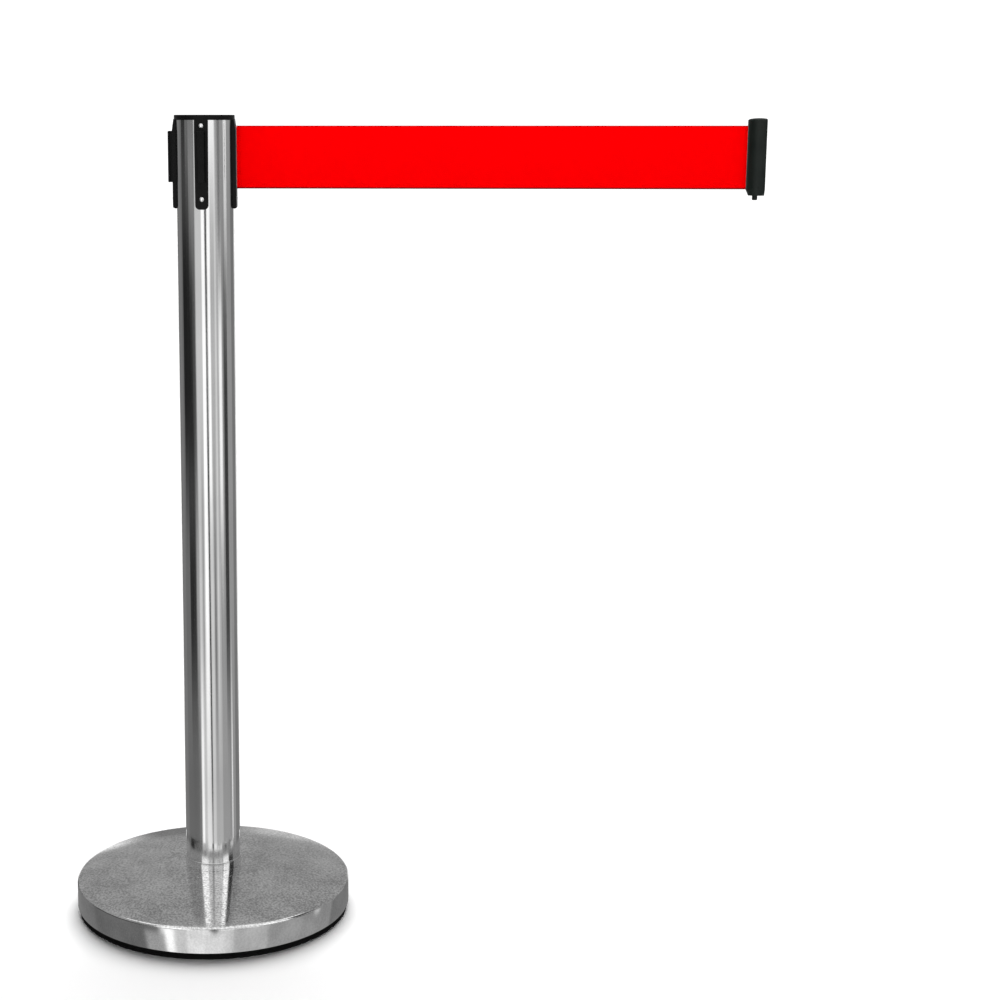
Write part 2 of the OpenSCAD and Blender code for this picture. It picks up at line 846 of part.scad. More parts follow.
module rail_channel() {
    box([-channel_depth, -cavity_w / 2, clip_bottom - cut], [-lip_depth, cavity_w / 2, channel_top]);
    box([-channel_depth, -throat_w / 2, clip_bottom - cut], [cut, throat_w / 2, channel_top]);
}

// room for a part of the lock bolt that has a given width
module bolt_tunnel(from, to, w) {
    half = w / 2 + tunnel_gap;
    box([from, -half, bolt_bottom - tunnel_gap], [to, half, bolt_top + tunnel_gap]);
}

module clip_body() {
    relief_r = screw_head_d / 2 + 0.8;
    relief_depth = 1.4;
    color(clip_plastic) translate([clip_x, 0, 0]) difference() {
        intersection() {
            clip_block();
            clip_slice(clip_split, cut);
        }
        rail_channel();
        clip_screw_holes();
        // relief for the neighbour's upper head screw
        translate([0, 0, upper_screw_z]) radial_cylinder(relief_r, -relief_depth, cut);
        // pocket of the lock bolt's arms, and tunnel of its nose
        bolt_tunnel(clip_split - cut, bolt_tail + bolt_arm_t + tunnel_gap, bolt_arm_w);
        bolt_tunnel(clip_split, cut - channel_depth, bolt_w);
        // bore and pocket of the release button
        translate([button_x, 0, clip_bottom - cut])
            cylinder(r = button_r + slip, h = clip_floor - clip_bottom + 2 * cut);
        translate([button_x, 0, clip_floor]) cylinder(r = button_pocket_r, h = bolt_bottom - clip_floor);
    }
}

module clip_cover() {
    spring_seat_r = lock_spring_r + lock_spring_wire + lock_spring_gap;
    color(clip_plastic) translate([clip_x, 0, 0]) difference() {
        intersection() {
            clip_block();
            clip_slice(clip_front - cut, clip_split);
        }
        clip_screw_holes();
        // belt slot, and the pocket of the belt's end loop
        box([clip_front - cut, -belt_slot / 2, spool_floor], [belt_pin_x, belt_slot / 2, spool_roof]);
        translate([belt_pin_x, 0, spool_floor]) cylinder(r = belt_pocket_r, h = spool_roof - spool_floor);
        box([belt_pin_x, -belt_pocket_r, spool_floor], [clip_split + cut, belt_pocket_r, spool_roof]);
        // bore that the belt pin is pushed up into
        translate([belt_pin_x, 0, clip_bottom - cut])
            cylinder(r = belt_pin_r + slip, h = belt_pin_top + gap - clip_bottom + cut);
        // seats of the lock springs
        for (side = [-1, 1]) translate([0, side * lock_spring_y, bolt_bottom + bolt_h / 2])
            radial_cylinder(spring_seat_r, lock_spring_seat, clip_split + cut);
    }
}

module clip_belt_pin() {
    color(bright_steel) translate([clip_x + belt_pin_x, 0, belt_pin_bottom])
        cylinder(r = belt_pin_r, h = belt_pin_top - belt_pin_bottom);
}

module clip_screws() {
    color(spring_steel) translate([clip_x, 0, 0])
        for (z = clip_screw_zs, side = [-1, 1]) translate([0, side * clip_screw_y, z]) {
            radial_cylinder(clip_screw_r, clip_screw_tip, -clip_screw_head_h + eps);
            radial_cylinder(clip_screw_head_r, -clip_screw_head_h, 0);
        }
}

// the wedge on the button and the notch in the bolt slope at 45 degrees, so both travel alike
tongue_left = button_x - tongue_w / 2;
tongue_right = button_x + tongue_w / 2;
wedge_top = bolt_bottom - play;

module lock_bolt() {
    nose_ramp = 1.6;
    notch = travel + play;
    color(bright_steel) translate([clip_x, 0, 0]) difference() {
        union() {
            side_plate(bolt_w) polygon([
                [bolt_tail, bolt_bottom], [bolt_tip - nose_ramp, bolt_bottom],
                [bolt_tip, bolt_bottom + nose_ramp], [bolt_tip, bolt_top], [bolt_tail, bolt_top]
            ]);
            box([bolt_tail, -bolt_arm_w / 2, bolt_bottom],
                [bolt_tail + bolt_arm_t, bolt_arm_w / 2, bolt_top]);
        }
        side_plate(tongue_t + gap) polygon([
            [tongue_right - eps, bolt_bottom - cut], [tongue_right - eps, bolt_bottom],
            [tongue_right + notch, bolt_bottom + notch], [tongue_right + notch, bolt_bottom - cut]
        ]);
    }
}

module release_button() {
    foot = clip_bottom - button_proud;
    foot_round_r = 1.2;
    collar_z = clip_floor + play;
    collar_top = collar_z + button_collar_t;
    color(black_plastic) translate([clip_x, 0, 0]) {
        translate([button_x, 0, 0]) rotate_extrude() {
            translate([0, foot]) square([button_r - foot_round_r, collar_top - foot]);
            translate([0, foot + foot_round_r]) square([button_r, collar_top - foot - foot_round_r]);
            intersection() {
                translate([button_r - foot_round_r, foot + foot_round_r]) circle(foot_round_r);
                translate([0, foot]) square([button_r, foot_round_r + cut]);
            }
            translate([0, collar_z]) square([button_collar_r, button_collar_t]);
        }
        side_plate(tongue_t) polygon([
            [tongue_left, collar_top - eps], [tongue_right, collar_top - eps], [tongue_right, wedge_top],
            [tongue_left, wedge_top - tongue_w]
        ]);
    }
}

// one small compression spring along +X
module coil_spring(r, wire, length, turns) {
    sides = 8;
    per_turn = 12;
    steps = per_turn * turns;
    pitch = (length - 2 * wire) / turns;
    points = [for (i = [0:steps], j = [0:sides - 1])
        let (a = 360 * i / per_turn, b = 360 * j / sides, q = r + wire * cos(b))
            [wire + pitch * i / per_turn + wire * sin(b), q * cos(a), q * sin(a)]];
    walls = [for (i = [0:steps - 1], j = [0:sides - 1])
        let (k = (j + 1) % sides)
            [i * sides + j, (i + 1) * sides + j, (i + 1) * sides + k, i * sides + k]];
    first_end = [for (j = [0:sides - 1]) j];
    last_end = [for (j = [sides - 1:-1:0]) steps * sides + j];
    polyhedron(points, concat([first_end], walls, [last_end]));
}

module lock_springs() {
    length = bolt_tail - lock_spring_seat - 2 * slip;
    color(spring_steel) for (side = [-1, 1])
        translate([clip_x + lock_spring_seat + slip, side * lock_spring_y, bolt_bottom + bolt_h / 2])
            coil_spring(lock_spring_r, lock_spring_wire, length, lock_spring_turns);
}

// ---------------------------------------------------------------- assembly

base_weight();
base_ring();
base_cover();
foot_plug();
base_bolt();
base_washer();
lock_washer();
post_collar();
post_tube();
head_crown();
receiver_rail_left();
receiver_rail_front();
receiver_rail_back();
head_screws();
cassette_plate_bottom();
cassette_plate_top();
cassette_drum();
cassette_tie_screws();
belt_guide();
spindle();
spindle_clip();
friction_washer();
spring_case();
spring_case_lid();
spring_case_screws();
power_spring();
spool();
spool_flange();
spool_bushing_upper();
spool_bushing_lower();
belt_anchor_pin();
belt_roll();
belt_lead();
belt_span();
clip_body();
clip_cover();
clip_belt_pin();
clip_screws();
lock_bolt();
lock_springs();
release_button();
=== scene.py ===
"""Looks of the retractable belt stanchion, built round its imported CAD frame: smooth turned steel, soft-edged
mouldings, a woven belt, procedural materials for every piece, and a plain pale studio. Metres, +Z up."""

import json
import math

import bmesh
import bpy
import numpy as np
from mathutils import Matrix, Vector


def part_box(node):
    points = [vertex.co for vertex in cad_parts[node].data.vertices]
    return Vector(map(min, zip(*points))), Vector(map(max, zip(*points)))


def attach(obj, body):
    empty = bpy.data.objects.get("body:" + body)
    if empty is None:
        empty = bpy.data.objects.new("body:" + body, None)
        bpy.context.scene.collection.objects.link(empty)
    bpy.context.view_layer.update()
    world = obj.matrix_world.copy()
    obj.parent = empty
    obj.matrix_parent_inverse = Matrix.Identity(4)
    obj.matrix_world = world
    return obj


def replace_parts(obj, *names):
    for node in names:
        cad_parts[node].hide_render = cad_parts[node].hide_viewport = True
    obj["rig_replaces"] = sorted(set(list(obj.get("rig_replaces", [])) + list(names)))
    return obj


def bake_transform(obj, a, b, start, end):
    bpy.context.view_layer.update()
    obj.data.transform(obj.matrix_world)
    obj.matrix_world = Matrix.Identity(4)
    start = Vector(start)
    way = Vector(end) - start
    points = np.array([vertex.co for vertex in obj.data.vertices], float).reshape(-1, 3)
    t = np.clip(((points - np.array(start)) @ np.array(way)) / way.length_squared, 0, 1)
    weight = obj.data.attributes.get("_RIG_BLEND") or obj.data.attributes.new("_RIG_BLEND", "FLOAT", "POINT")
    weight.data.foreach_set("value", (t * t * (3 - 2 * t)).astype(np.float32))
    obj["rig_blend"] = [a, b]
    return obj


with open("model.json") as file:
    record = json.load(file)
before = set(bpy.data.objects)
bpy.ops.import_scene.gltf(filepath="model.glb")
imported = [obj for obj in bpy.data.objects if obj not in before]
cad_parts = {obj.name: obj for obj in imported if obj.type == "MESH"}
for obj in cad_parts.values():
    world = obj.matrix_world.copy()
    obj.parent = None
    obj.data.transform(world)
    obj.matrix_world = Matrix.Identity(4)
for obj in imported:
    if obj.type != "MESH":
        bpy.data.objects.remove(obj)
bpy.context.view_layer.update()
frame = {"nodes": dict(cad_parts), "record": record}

MM = 0.001

# The steel cover: its side's height, its rim's radius, its sheet and the flat in its middle
COVER_SIDE = 27 * MM
COVER_RIM = 3 * MM
COVER_SHEET = 1 * MM
COVER_FLAT = 34 * MM
COVER_HOLE = 6.4 * MM

# The belt: its woven edges are a little thicker than the rest
BELT_THICKNESS = 0.5 * MM
SELVEDGE_WIDTH = 1.6 * MM
SELVEDGE_SWELL = 0.06 * MM
# Length of one quad of the drawn-out belt
SPAN_STEP = 4 * MM
# The spool's core, which the belt is wound on, and the air between two turns of the belt
ROLL_CORE = 9 * MM
ROLL_AIR = 0.01 * MM
# Air between the roll and the belt's lead where it leaves the roll
LEAD_AIR = 0.3 * MM
# Air between the belt's end loops and their pins, at the clip and on the spool
CLIP_PIN_AIR = 0.1 * MM
SPOOL_PIN_AIR = 0.05 * MM
# The belt guide's rounded lips: their radius, and half of the gap between them
LIP_RADIUS = 1.1 * MM
LIP_GAP = 0.45 * MM

# The camera stands in front of the belt's left third, turned a little to the post, and looks slightly down.
# Its frame is moved to the right, which keeps the post nearly upright.
CAMERA_PLACE = (0.243, -2.150, 0.915)
CAMERA_PITCH = -11.16
CAMERA_YAW = 2.79
CAMERA_LENS = 69.45
CAMERA_SENSOR = 36.0
CAMERA_SHIFT = 0.17


# ---------------------------------------------------------------- nodes

class Tree:
    """Short ways to add and join the nodes of a material or a world."""

    def __init__(self, owner):
        owner.use_nodes = True
        self.tree = owner.node_tree

    def add(self, kind, inputs=None, **settings):
        node = self.tree.nodes.new(kind)
        for key, value in settings.items():
            setattr(node, key, value)
        for key, value in (inputs or {}).items():
            if isinstance(value, bpy.types.NodeSocket):
                self.tree.links.new(value, node.inputs[key])
            else:
                node.inputs[key].default_value = value
        return node

    def maths(self, operation, *values):
        return self.add("ShaderNodeMath", dict(enumerate(values)), operation=operation).outputs[0]

    def span(self, value, low, high, start=0.0, end=1.0, kind="LINEAR"):
        """Value, from start to end, brought to low to high."""
        ends = {"From Min": start, "From Max": end, "To Min": low, "To Max": high}
        return self.add("ShaderNodeMapRange", {"Value": value, **ends}, interpolation_type=kind).outputs[0]

    def mix(self, factor, low, high):
        """A number between two others."""
        return self.add("ShaderNodeMix", {0: factor, 2: low, 3: high}).outputs[0]

    def ramp(self, factor, *stops):
        """A colour along factor; each stop is a place from 0 to 1 and a colour."""
        node = self.add("ShaderNodeValToRGB", {"Fac": factor})
        points = node.color_ramp.elements
        points[0].position = stops[0][0]
        points[1].position = stops[-1][0]
        for place, _ in stops[1:-1]:
            points.new(place)
        for point, (_, colour) in zip(points, stops):
            point.color = (*colour, 1)
        return node.outputs["Color"]


class Look(Tree):
    """A material with one Principled shader, whose patterns lie in the row frame."""

    def __init__(self, name, constants):
        self.material = bpy.data.materials.new(name)
        super().__init__(self.material)
        self.shader = self.tree.nodes["Principled BSDF"]
        for socket, value in constants.items():
            self.shader.inputs[socket].default_value = value
        self.place = self.add("ShaderNodeTexCoord").outputs["Object"]

    def stretched(self, x, y, z):
        return self.add("ShaderNodeMapping", {"Vector": self.place, "Scale": (x, y, z)}).outputs[0]

    def noise(self, scale, detail=3.0, vector=None):
        inputs = {"Vector": vector or self.place, "Scale": scale, "Detail": detail}
        return self.add("ShaderNodeTexNoise", inputs).outputs["Fac"]

    def cells(self, scale, output="Distance"):
        inputs = {"Vector": self.place, "Scale": scale}
        return self.add("ShaderNodeTexVoronoi", inputs).outputs[output]

    def bump(self, height, distance, under=None):
        """A normal bumped by height, which from 0 to 1 rises by distance."""
        inputs = {"Height": height, "Distance": distance}
        if under is not None:
            inputs["Normal"] = under
        return self.add("ShaderNodeBump", inputs).outputs["Normal"]

    def finish(self, colour, roughness, normal):
        for socket, source in (("Base Color", colour), ("Roughness", roughness), ("Normal", normal)):
            self.tree.links.new(source, self.shader.inputs[socket])
        return self.material


def grey(value, tint=(1, 1, 1)):
    return tuple(value * part for part in tint)


# ---------------------------------------------------------------- materials

def polished_steel():
    """Stainless tube: long fine polishing streaks, and a slight waviness that bends its reflections."""
    look = Look("polished_steel", {"Metallic": 1.0})
    clouds = look.noise(9, 4)
    streaks = look.noise(1, 3, look.stretched(900, 900, 5))
    waves = look.noise(1, 2, look.stretched(45, 45, 7))
    colour = look.ramp(clouds, (0.3, grey(0.70)), (0.7, grey(0.80)))
    roughness = look.span(streaks, 0.045, 0.15, 0.3, 0.7)
    normal = look.bump(streaks, 0.5e-6, look.bump(waves, 60e-6))
    return look.finish(colour, roughness, normal)


def satin_steel():
    """Pressed cover: fine even grain, cloudy from handling."""
    look = Look("satin_steel", {"Metallic": 1.0})
    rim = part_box("base_cover")[0].z + COVER_SIDE
    height = look.add("ShaderNodeSeparateXYZ", {"Vector": look.place}).outputs["Z"]
    grain = look.mix(look.span(height, 0.2, 1, rim, rim + COVER_RIM), 0.5, look.noise(430, 2))
    clouds = look.noise(26, 4)
    mottled = look.maths("MULTIPLY_ADD", clouds, 0.3, look.maths("MULTIPLY", grain, 0.7))
    colour = look.ramp(mottled, (0.38, grey(0.46)), (0.62, grey(0.95)))
    roughness = look.span(mottled, 0.14, 0.06, 0.38, 0.62)
    normal = look.bump(grain, 1.5e-6, look.bump(clouds, 25e-6))
    return look.finish(colour, roughness, normal)


def rubber():
    look = Look("rubber", {"Specular IOR Level": 0.08})
    dust = look.noise(60, 5)
    grain = look.noise(1800, 2)
    colour = look.ramp(dust, (0.35, grey(0.001)), (0.75, grey(0.004)))
    roughness = look.span(dust, 0.62, 0.85)
    return look.finish(colour, roughness, look.bump(grain, 20e-6))


def cast_iron():
    look = Look("cast_iron", {"Metallic": 0.0, "Specular IOR Level": 0.45})
    skin = look.noise(350, 5)
    clouds = look.noise(18, 4)
    colour = look.ramp(clouds, (0.3, grey(0.028)), (0.7, grey(0.055)))
    roughness = look.span(skin, 0.5, 0.8)
    return look.finish(colour, roughness, look.bump(skin, 0.25 * MM))


def moulded(name, dark, light, roughness, gloss, grain_scale=2600):
    """A moulded plastic with a fine leather-like grain and faint flow marks."""
    look = Look(name, {"Specular IOR Level": gloss})
    grain = look.cells(grain_scale)
    clouds = look.noise(55, 4)
    colour = look.ramp(clouds, (0.3, dark), (0.72, light))
    shine = look.span(clouds, roughness - 0.05, roughness + 0.07)
    return look.finish(colour, shine, look.bump(grain, 22e-6, look.bump(clouds, 18e-6)))


def nylon():
    look = Look("nylon", {"Specular IOR Level": 0.45, "Subsurface Weight": 0.15, "Subsurface Scale": 2 * MM})
    clouds = look.noise(70, 4)
    colour = look.ramp(clouds, (0.3, (0.70, 0.68, 0.61)), (0.7, (0.80, 0.79, 0.74)))
    return look.finish(colour, look.span(clouds, 0.38, 0.5), look.bump(look.noise(900, 2), 8e-6))


def screw_steel():
    look = Look("screw_steel", {"Metallic": 1.0})
    turned = look.noise(1400, 3)
    colour = look.ramp(turned, (0.3, grey(0.78)), (0.7, grey(0.90)))
    return look.finish(colour, look.span(turned, 0.10, 0.24), look.bump(turned, 2e-6))


def zinc_steel():
    look = Look("zinc_steel", {"Metallic": 1.0})
    spangle = look.cells(420, "Color")
    tone = look.add("ShaderNodeRGBToBW", {"Color": spangle}).outputs[0]
    colour = look.ramp(tone, (0.1, (0.46, 0.48, 0.51)), (0.9, (0.62, 0.64, 0.67)))
    return look.finish(colour, look.span(tone, 0.28, 0.44), look.bump(look.noise(700, 3), 6e-6))


def spring_steel():
    look = Look("spring_steel", {"Metallic": 1.0})
    heat = look.noise(140, 3)
    rolled = look.noise(1, 3, look.stretched(900, 900, 60))
    colour = look.ramp(heat, (0.3, (0.20, 0.23, 0.31)), (0.7, (0.34, 0.34, 0.36)))
    return look.finish(colour, look.span(rolled, 0.22, 0.40), look.bump(rolled, 3e-6))


def bronze():
    look = Look("bronze", {"Metallic": 1.0})
    pores = look.cells(2400)
    oil = look.noise(300, 3)
    colour = look.ramp(oil, (0.3, (0.36, 0.22, 0.09)), (0.7, (0.55, 0.38, 0.19)))
    return look.finish(colour, look.span(oil, 0.34, 0.52), look.bump(pores, 15e-6))


def felt():
    look = Look("felt", {"Specular IOR Level": 0.15, "Sheen Weight": 0.4})
    fibres = look.noise(2600, 6)
    colour = look.ramp(fibres, (0.3, (0.13, 0.13, 0.12)), (0.7, (0.34, 0.34, 0.31)))
    return look.finish(colour, look.span(fibres, 0.85, 0.98), look.bump(fibres, 0.15 * MM))


def belt_web():
    """Red polyester web, woven as a herringbone twill in narrow bands, over warp threads."""
    look = Look("belt_web", {"Specular IOR Level": 0.0})
    parts = look.add("ShaderNodeSeparateXYZ", {"Vector": look.place}).outputs
    band, thread, twill = 6.2 * MM, 0.62 * MM, 1.15 * MM
    across = look.maths("PINGPONG", parts["Z"], band)
    slant = look.maths("DIVIDE", look.maths("ADD", parts["X"], across), twill)
    diagonal = look.maths("SINE", look.maths("MULTIPLY", slant, 2 * math.pi))
    warp = look.maths("SINE", look.maths("MULTIPLY", parts["Z"], 2 * math.pi / thread))
    weft = look.maths("SINE", look.maths("MULTIPLY", parts["X"], 2 * math.pi / thread))
    yarns = look.maths("MULTIPLY", warp, weft)
    raised = look.maths("MULTIPLY_ADD", yarns, 0.3, diagonal)
    height = look.span(raised, 0, 1, -1.3, 1.3)
    fuzz = look.noise(5200, 3)
    worn = look.noise(14, 3)
    tone = look.maths("MULTIPLY_ADD", worn, 0.35, look.maths("MULTIPLY_ADD", fuzz, 0.25, height))
    web = look.ramp(tone, (0.15, (0.78, 0.0, 0.001)), (0.75, (1.0, 0.0, 0.001)))
    # Both edges are darkened, the lower one fully and the upper one by half: partly a darker woven edge,
    # partly painted shade along the belt's lower edge.
    low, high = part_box("belt_span")
    above = look.span(parts["Z"], 1, 0, low.z + 0.9 * MM, low.z + 1.3 * SELVEDGE_WIDTH)
    below = look.span(parts["Z"], 0, 0.5, high.z - SELVEDGE_WIDTH, high.z - 0.4 * MM)
    edge = look.maths("ADD", above, below)
    dark_edges_and_painted_shade = look.add("ShaderNodeMix", {0: edge, 6: web, 7: (0.13, 0.006, 0.007, 1)})
    dark_edges_and_painted_shade.data_type = "RGBA"
    colour = dark_edges_and_painted_shade.outputs[2]
    normal = look.bump(fuzz, 12e-6, look.bump(height, 45e-6))
    return look.finish(colour, look.span(height, 0.92, 0.72), normal)


def make_materials():
    """Blender material for each slot of the record."""
    clip_dark, clip_light = (0.004, 0.0075, 0.006), (0.008, 0.012, 0.0095)
    return {
        "post_steel": polished_steel(),
        "cover_steel": satin_steel(),
        "rubber": rubber(),
        "cast_iron": cast_iron(),
        "head_plastic": moulded("head_plastic", grey(0.0018), grey(0.0042), 0.36, 0.13),
        "cassette_plastic": moulded("cassette_plastic", grey(0.012), grey(0.02), 0.5, 0.4, 1500),
        "clip_plastic": moulded("clip_plastic", clip_dark, clip_light, 0.33, 0.22, 2200),
        "nylon": nylon(),
        "screw_steel": screw_steel(),
        "zinc_steel": zinc_steel(),
        "spring_steel": spring_steel(),
        "bronze": bronze(),
        "felt": felt(),
        "belt_web": belt_web(),
    }


# ---------------------------------------------------------------- mesh helpers

SLOT_OF = {part["node"]: part["material_slot"] for part in frame["record"]["subparts"]}
BODY_OF = {node: body for body, held in frame["record"]["behaviour"]["bodies"].items() for node in held}
MATERIALS = make_materials()


def smooth(mesh, angle=32):
    """Smooth shading, with edges sharper than angle kept crisp."""
    mesh.shade_smooth()
    mesh.set_sharp_from_angle(angle=math.radians(angle))


def new_piece(name, shape, node, rides=True):
    """A piece from a bmesh that stands for a CAD node, with that node's slot, material and body."""
    bmesh.ops.recalc_face_normals(shape, faces=shape.faces)
    mesh = bpy.data.meshes.new(name)
    shape.to_mesh(mesh)
    shape.free()
    smooth(mesh)
    mesh.materials.append(MATERIALS[SLOT_OF[node]])
    piece = bpy.data.objects.new(name, mesh)
    bpy.context.scene.collection.objects.link(piece)
    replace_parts(piece, node)
    if rides:
        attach(piece, BODY_OF[node])
    return piece


def arc(x, y, radius, start, end, steps):
    """Points along an arc, angles in degrees."""
    angles = [math.radians(start + (end - start) * i / steps) for i in range(steps + 1)]
    return [(x + radius * math.cos(a), y + radius * math.sin(a)) for a in angles]


def turned(outline, turns):
    """A closed ring round the post's axis, from an outline of (radius, height) points."""
    shape = bmesh.new()
    rings = []
    for i in range(turns):
        angle = 2 * math.pi * i / turns
        rings.append([shape.verts.new((r * math.cos(angle), r * math.sin(angle), z)) for r, z in outline])
    count = len(outline)
    for i in range(turns):
        here, there = rings[i], rings[(i + 1) % turns]
        for j in range(count):
            k = (j + 1) % count
            shape.faces.new((here[j], there[j], there[k], here[k]))
    return shape


def softened(name, node, width, sharp=24):
    """A copy of a CAD node with its sharp edges rounded off."""
    shape = bmesh.new()
    shape.from_mesh(frame["nodes"][node].data)
    bmesh.ops.remove_doubles(shape, verts=shape.verts, dist=1e-6)
    flat = math.radians(0.4)
    bmesh.ops.dissolve_limit(shape, angle_limit=flat, verts=shape.verts, edges=shape.edges)
    limit = math.radians(sharp)
    edges = [e for e in shape.edges if len(e.link_faces) == 2 and e.calc_face_angle() > limit]
    bmesh.ops.bevel(
        shape, geom=edges, offset=width, segments=3, profile=0.5, affect="EDGES", clamp_overlap=True
    )
    piece = new_piece(name, shape, node)
    piece.modifiers.new("flat_faces", "WEIGHTED_NORMAL").weight = 100
    return piece


# ---------------------------------------------------------------- base and post

def cover_outline(low, high):
    """The cover's outer profile from its lower edge to its middle, in (radius, height)."""
    side_top = low.z + COVER_SIDE
    rise = high.z - side_top
    run = high.x - COVER_RIM - COVER_FLAT
    dome = (run ** 2 + rise ** 2 - COVER_RIM ** 2) / (2 * (rise - COVER_RIM))
    rim_end = 90 - math.degrees(math.asin(run / (dome - COVER_RIM)))
    rim = arc(high.x - COVER_RIM, side_top, COVER_RIM, 0, rim_end, 10)
    top = arc(COVER_FLAT, high.z - dome, dome, rim_end, 90, 60)
    return [(high.x, low.z + COVER_SHEET / 2)] + rim + top[1:] + [(COVER_HOLE, high.z)]


def inset(outline, depth):
    """The same line moved inwards, at a right angle to itself."""
    moved = []
    for i, (r, z) in enumerate(outline):
        before, after = outline[max(i - 1, 0)], outline[min(i + 1, len(outline) - 1)]
        along = (after[0] - before[0], after[1] - before[1])
        length = math.hypot(*along)
        moved.append((r - depth * along[1] / length, z + depth * along[0] / length))
    return moved


def base_cover():
    low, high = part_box("base_cover")
    outer = cover_outline(low, high)
    inner = inset(outer, COVER_SHEET)
    half = COVER_SHEET / 2
    lip = arc(high.x - half, low.z + half, half, 180, 360, 8)
    return new_piece("base_cover_shell", turned(outer + inner[::-1] + lip[1:-1], 288), "base_cover")


def base_ring():
    low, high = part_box("base_ring")
    cover_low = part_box("base_cover")[0].z
    weight_low, weight_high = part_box("base_weight")
    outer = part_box("base_cover")[1].x - 2 * MM
    foot, groove, inner = 1.2 * MM, 0.45 * MM, weight_high.x - 12 * MM
    lip_in, ledge = weight_high.x + 0.4 * MM, weight_low.z - 0.05 * MM
    middle = cover_low / 2
    outline = [(inner, low.z + foot)] + arc(inner + foot, low.z + foot, foot, 180, 270, 4)[1:]
    for place in (0.3, 0.5, 0.7):
        at = inner + (outer - inner) * place
        outline += [(at - foot, low.z), (at, low.z + groove), (at + foot, low.z)]
    outline += arc(outer - foot, low.z + foot, foot, 270, 360, 5)
    outline += [(outer, middle - groove), (outer - groove, middle), (outer, middle + groove)]
    outline += [(outer, cover_low), (high.x, cover_low)]
    outline += [(high.x, high.z - groove), (high.x - groove, high.z), (lip_in, high.z), (lip_in, ledge)]
    outline += [(inner, ledge)]
    return new_piece("base_ring_rubber", turned(outline, 256), "base_ring")


def post_collar():
    low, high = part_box("post_collar")
    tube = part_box("post_tube")[1].x
    bore, edge = tube + 0.05 * MM, 0.6 * MM
    outline = [(bore, low.z), (high.x - 0.2 * MM, low.z), (high.x, low.z + 0.2 * MM)]
    outline += arc(high.x - edge, high.z - edge, edge, 0, 90, 8)
    outline += [(bore, high.z)]
    return new_piece("post_collar_ring", turned(outline, 192), "post_collar")


# ---------------------------------------------------------------- belt

def web_section(low, high, thickness):
    """Half thicknesses across the belt, from its lower to its upper edge."""
    body = thickness / 2
    swollen = body + SELVEDGE_SWELL
    edge = [(0, 0.3 * body), (0.1, 0.85 * body), (0.35, swollen), (0.75, swollen), (1, body)]
    below = [(low + share * SELVEDGE_WIDTH, half) for share, half in edge]
    above = [(high - share * SELVEDGE_WIDTH, half) for share, half in edge[::-1]]
    return below + [((low + high) / 2, body)] + above


def web_strip(path, low, high, thickness):
    """A belt on edge along a path of (x, y) points."""
    section = web_section(low, high, thickness)
    shape = bmesh.new()
    rings = []
    for i, (x, y) in enumerate(path):
        before, after = path[max(i - 1, 0)], path[min(i + 1, len(path) - 1)]
        length = math.hypot(after[0] - before[0], after[1] - before[1])
        nx, ny = (before[1] - after[1]) / length, (after[0] - before[0]) / length
        front = [shape.verts.new((x + nx * h, y + ny * h, z)) for z, h in section]
        back = [shape.verts.new((x - nx * h, y - ny * h, z)) for z, h in section[::-1]]
        rings.append(front + back)
    count = len(rings[0])
    for here, there in zip(rings, rings[1:]):
        for j in range(count):
            k = (j + 1) % count
            shape.faces.new((here[j], there[j], there[k], here[k]))
    shape.faces.new(rings[0])
    shape.faces.new(rings[-1][::-1])
    return shape


def even_stretch(piece, start, end):
    """Spreads a blended piece's stretch evenly along X, so that it shortens without folding over."""
    weights = piece.data.attributes["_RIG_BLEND"].data
    for vertex, weight in zip(piece.data.vertices, weights):
        weight.value = min(max((vertex.co.x - start) / (end - start), 0.0), 1.0)


def belt_span():
    """The belt from its outlet to the clip, where it is folded round its pin."""
    low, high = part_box("belt_span")
    pin_low, pin_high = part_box("clip_belt_pin")
    clip_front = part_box("clip_cover")[0].x
    pin = (pin_low.x + pin_high.x) / 2
    around = (pin_high.x - pin_low.x) / 2 + CLIP_PIN_AIR + BELT_THICKNESS / 2
    steps = round((clip_front - low.x) / SPAN_STEP)
    path = [(low.x + (clip_front - low.x) * i / steps, 0.0) for i in range(steps + 1)]
    path += [(pin - around - 1.2 * MM, 0.05 * MM)]
    path += arc(pin, 0, around, 140, -150, 20)
    strip = web_strip(path, low.z, high.z, BELT_THICKNESS)
    piece = new_piece("belt_span_web", strip, "belt_span", rides=False)
    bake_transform(piece, "stand", "clip", start=(low.x, 0, low.z), end=(clip_front, 0, low.z))
    even_stretch(piece, low.x, clip_front)
    piece.visible_glossy = False
    return piece


def lead_path(roll, outlet):
    """From the roll's surface, round the nearer lip of the guide and out through the leg."""
    guide_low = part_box("belt_guide")[0]
    lip_x, lip_y = guide_low.x + LIP_RADIUS, LIP_GAP + LIP_RADIUS
    lead = roll + LEAD_AIR + BELT_THICKNESS / 2
    turn = math.degrees(math.atan2(-lip_y, lip_x) + math.asin((lead + lip_y) / math.hypot(lip_x, lip_y)))
    leave = math.radians(turn)
    path = [(lead * math.sin(leave), -lead * math.cos(leave))]
    bend = arc(lip_x, -lip_y, lip_y, turn + 90, 90, 10)
    straight = [tuple(a + (b - a) * i / 6 for a, b in zip(path[0], bend[0])) for i in range(1, 6)]
    return path + straight + bend + [(lip_x + 4 * MM, 0.0), (outlet, 0.0)]


def belt_lead():
    low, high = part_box("belt_lead")
    path = lead_path(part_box("belt_roll")[1].x, high.x)
    piece = new_piece("belt_lead_web", web_strip(path, low.z, high.z, BELT_THICKNESS), "belt_lead")
    piece.visible_glossy = False
    return piece


